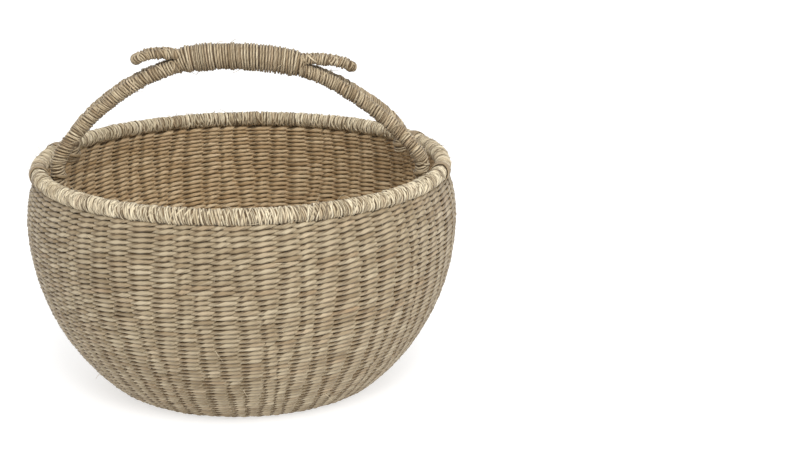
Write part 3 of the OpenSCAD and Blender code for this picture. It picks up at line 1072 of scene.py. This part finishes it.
def grass_material(name, colours, shade):
    """Grass in one of three shades. The weave's colour changes from its outside to its inside: partly the
    grass's own tone, and partly painted light, as the inside is made much paler against the shade in the
    bowl.
    """
    if name in bpy.data.materials:
        return bpy.data.materials[name]
    material, tree, shader = new_material(name)
    set_inputs(shader, {"Specular IOR Level": 0.35, "Sheen Weight": 0.15, "Sheen Roughness": 0.5})
    group = tree.nodes.new("ShaderNodeGroup")
    group.node_tree = grass_group()
    for label in ("Grain", "Tint"):
        source = tree.nodes.new("ShaderNodeAttribute")
        source.attribute_name = label.lower()
        tree.links.new(source.outputs["Vector"], group.inputs[label])
    tree.links.new(object_place(tree), group.inputs["Place"])
    if shade == "outside":
        # The faces that look into the bowl take the paler inside colours, partly as painted light against
        # its shade.
        face = inner_face(tree)
        for label, near, far in (("Main", colours.outside, colours.inside),
                                 ("Pale", colours.outside_pale, colours.inside_pale)):
            tree.links.new(mix_colour(tree, "MIX", face, (*near, 1), (*far, 1)), group.inputs[label])
    else:
        main, pale = getattr(colours, shade), getattr(colours, shade + "_pale")
        set_inputs(group, {"Main": (*main, 1), "Pale": (*pale, 1),
                           "Twist": 1.0, "Half width": 0.00118, "Edge start": 0.66})
    set_inputs(group, {"Warm": (*colours.warm, 1), "Crease": (*colours.crease, 1)})
    tree.links.new(group.outputs["Color"], shader.inputs["Base Color"])
    tree.links.new(group.outputs["Roughness"], shader.inputs["Roughness"])
    add_bump(tree, shader, group.outputs["Height"], GRASS_BUMP)
    return material


def inner_face(tree):
    """1 on the faces that look into the basket and 0 outside, from the normal against the radius."""
    out = vector_node(tree, "SUBTRACT", object_place(tree), (0, 0, BOWL_CENTRE))["Vector"]
    normal = tree.nodes.new("ShaderNodeNewGeometry").outputs["Normal"]
    return math_node(tree, "MULTIPLY", vector_node(tree, "DOT_PRODUCT", out, normal)["Value"], -12.0, True)


def leaf_material(colours):
    """Brown leaf: fine veins, and spots of the grass's own colour."""
    material, tree, shader = new_material("Leaf strip")
    add, _, multiply = sums(tree)
    shader.inputs["Specular IOR Level"].default_value = 0.4
    place = object_place(tree)
    veins = noise(tree, place, VEIN_SCALE, 2)
    base = mix_colour(tree, "MIX", noise(tree, place, 90, 3), (*colours.leaf, 1), (*colours.outside, 1))
    base = mix_colour(tree, "MULTIPLY", multiply(veins, 0.6), base, (0.55, 0.45, 0.35, 1))
    tree.links.new(base, shader.inputs["Base Color"])
    tree.links.new(add(multiply(veins, 0.3), 0.35), shader.inputs["Roughness"])
    add_bump(tree, shader, veins, LEAF_BUMP)
    return material


def core_material(colours):
    """Dry grass for the pieces deep in the wall and the wraps, darkened as painted shade: the inside's
    colour dimmed and speckled with the crease colour.
    """
    if "Core grass" in bpy.data.materials:
        return bpy.data.materials["Core grass"]
    material, tree, shader = new_material("Core grass")
    shader.inputs["Roughness"].default_value = 0.75
    # Painted shade: the inside's colour dimmed for the grass deep in the wall.
    dark = [CORE_SHADE * c for c in colours.inside]
    speckle = noise(tree, object_place(tree), 700, 3)
    base = mix_colour(tree, "MIX", speckle, (*colours.crease, 1), (*dark, 1))
    tree.links.new(base, shader.inputs["Base Color"])
    return material


class BASKET_OT_inner(Operator):
    """Finish the stakes, the rim's hoop and the canes, which show only in the gaps, in the core grass's dark
    painted shade
    """
    bl_idname = "basket.inner"
    bl_label = "Finish the inner pieces"

    def execute(self, context):
        material = core_material(context.scene.basket_colours)
        for name in ("long_stakes", "added_stakes", "rim_hoop", "rim_stake_tails",
                     "left_hoop_core", "right_hoop_core"):
            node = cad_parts[name]
            node.data.materials.clear()
            node.data.materials.append(material)
        return {"FINISHED"}


# ---------------------------------------------------------------- stage


# Place, size and power of each lamp, and the point that both look at.
LAMPS = {"key": ((0.2, -2.4, 2.7), 1.4, 78), "fill": ((2.2, -1.8, 1.6), 1.8, 16)}
LAMP_TARGET = (0, 0, 0.15)
FLOOR_GLOW = 0.62
WORLD_STRENGTH = 0.85


class BASKET_OT_stage(Operator):
    """Set up the floor, the light and the camera"""
    bl_idname = "basket.stage"
    bl_label = "Set the stage"

    def execute(self, context):
        scene = context.scene
        stage, colours = scene.basket_stage, scene.basket_colours
        self.floor(colours)
        self.lights(scene)
        self.camera(scene, stage)
        return {"FINISHED"}

    def floor(self, colours):
        bm = bmesh.new()
        bmesh.ops.create_grid(bm, x_segments=1, y_segments=1, size=8)
        floor = mesh_object("floor", bm)
        material, _, shader = new_material("Pale floor")
        set_inputs(shader, {"Base Color": (*colours.floor, 1), "Roughness": 0.6,
                            "Emission Color": (1, 1, 1, 1), "Emission Strength": FLOOR_GLOW})
        floor.data.materials.append(material)

    def lights(self, scene):
        world = bpy.data.worlds.new("Studio")
        scene.world = world
        world.use_nodes = True
        set_inputs(world.node_tree.nodes["Background"], {"Color": (1, 1, 1, 1), "Strength": WORLD_STRENGTH})
        for name, lamp in LAMPS.items():
            self.area(name, *lamp)

    def area(self, name, place, size, power):
        """A square lamp that looks at the basket."""
        light = bpy.data.lights.new(name, "AREA")
        light.energy = power
        light.size = size
        lamp = new_object(name, light)
        lamp.location = place
        lamp.rotation_euler = (Vector(LAMP_TARGET) - Vector(place)).to_track_quat("-Z", "Y").to_euler()

    def camera(self, scene, stage):
        rim = Profile(scene.basket_wall).rim_height
        lens = bpy.data.cameras.new("camera")
        lens.lens = stage.lens
        camera = new_object("camera", lens)
        across = stage.distance * np.cos(stage.elevation)
        camera.location = (across * np.sin(stage.azimuth), -across * np.cos(stage.azimuth),
                           rim + stage.distance * np.sin(stage.elevation))
        camera.rotation_euler = Euler((np.pi / 2 - stage.pitch, 0, stage.azimuth - stage.heading))
        scene.camera = camera
        scene.view_settings.view_transform = "Standard"


# ---------------------------------------------------------------- panel and registration


PIECES = (BASKET_OT_weave, BASKET_OT_packing, BASKET_OT_rim, BASKET_OT_handle, BASKET_OT_lashings,
          BASKET_OT_fibres, BASKET_OT_inner, BASKET_OT_stage)
GROUPS = {"basket_wall": BasketWall, "basket_weave": BasketWeave, "basket_handle": BasketHandle,
          "basket_wrap": BasketWrap, "basket_colours": BasketColours, "basket_stage": BasketStage}


class BASKET_PT_panel(Panel):
    bl_label = "Woven Fruit Basket"
    bl_idname = "BASKET_PT_panel"
    bl_space_type = "VIEW_3D"
    bl_region_type = "UI"
    bl_category = "Basket"

    def draw(self, context):
        for name, group in GROUPS.items():
            box = self.layout.box()
            box.label(text=group.__doc__)
            settings = getattr(context.scene, name)
            for prop in group.__annotations__:
                box.prop(settings, prop)
        for piece in PIECES:
            self.layout.operator(piece.bl_idname)


def register():
    for cls in (*GROUPS.values(), *PIECES, BASKET_PT_panel):
        bpy.utils.register_class(cls)
    for name, group in GROUPS.items():
        setattr(bpy.types.Scene, name, PointerProperty(type=group))


def unregister():
    for name in GROUPS:
        delattr(bpy.types.Scene, name)
    for cls in reversed((*GROUPS.values(), *PIECES, BASKET_PT_panel)):
        bpy.utils.unregister_class(cls)


def main():
    register()
    bpy.ops.basket.weave()
    bpy.ops.basket.packing()
    bpy.ops.basket.rim()
    bpy.ops.basket.handle()
    bpy.ops.basket.lashings()
    bpy.ops.basket.fibres()
    bpy.ops.basket.inner()
    bpy.ops.basket.stage()
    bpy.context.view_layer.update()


if __name__ == "__main__":
    main()
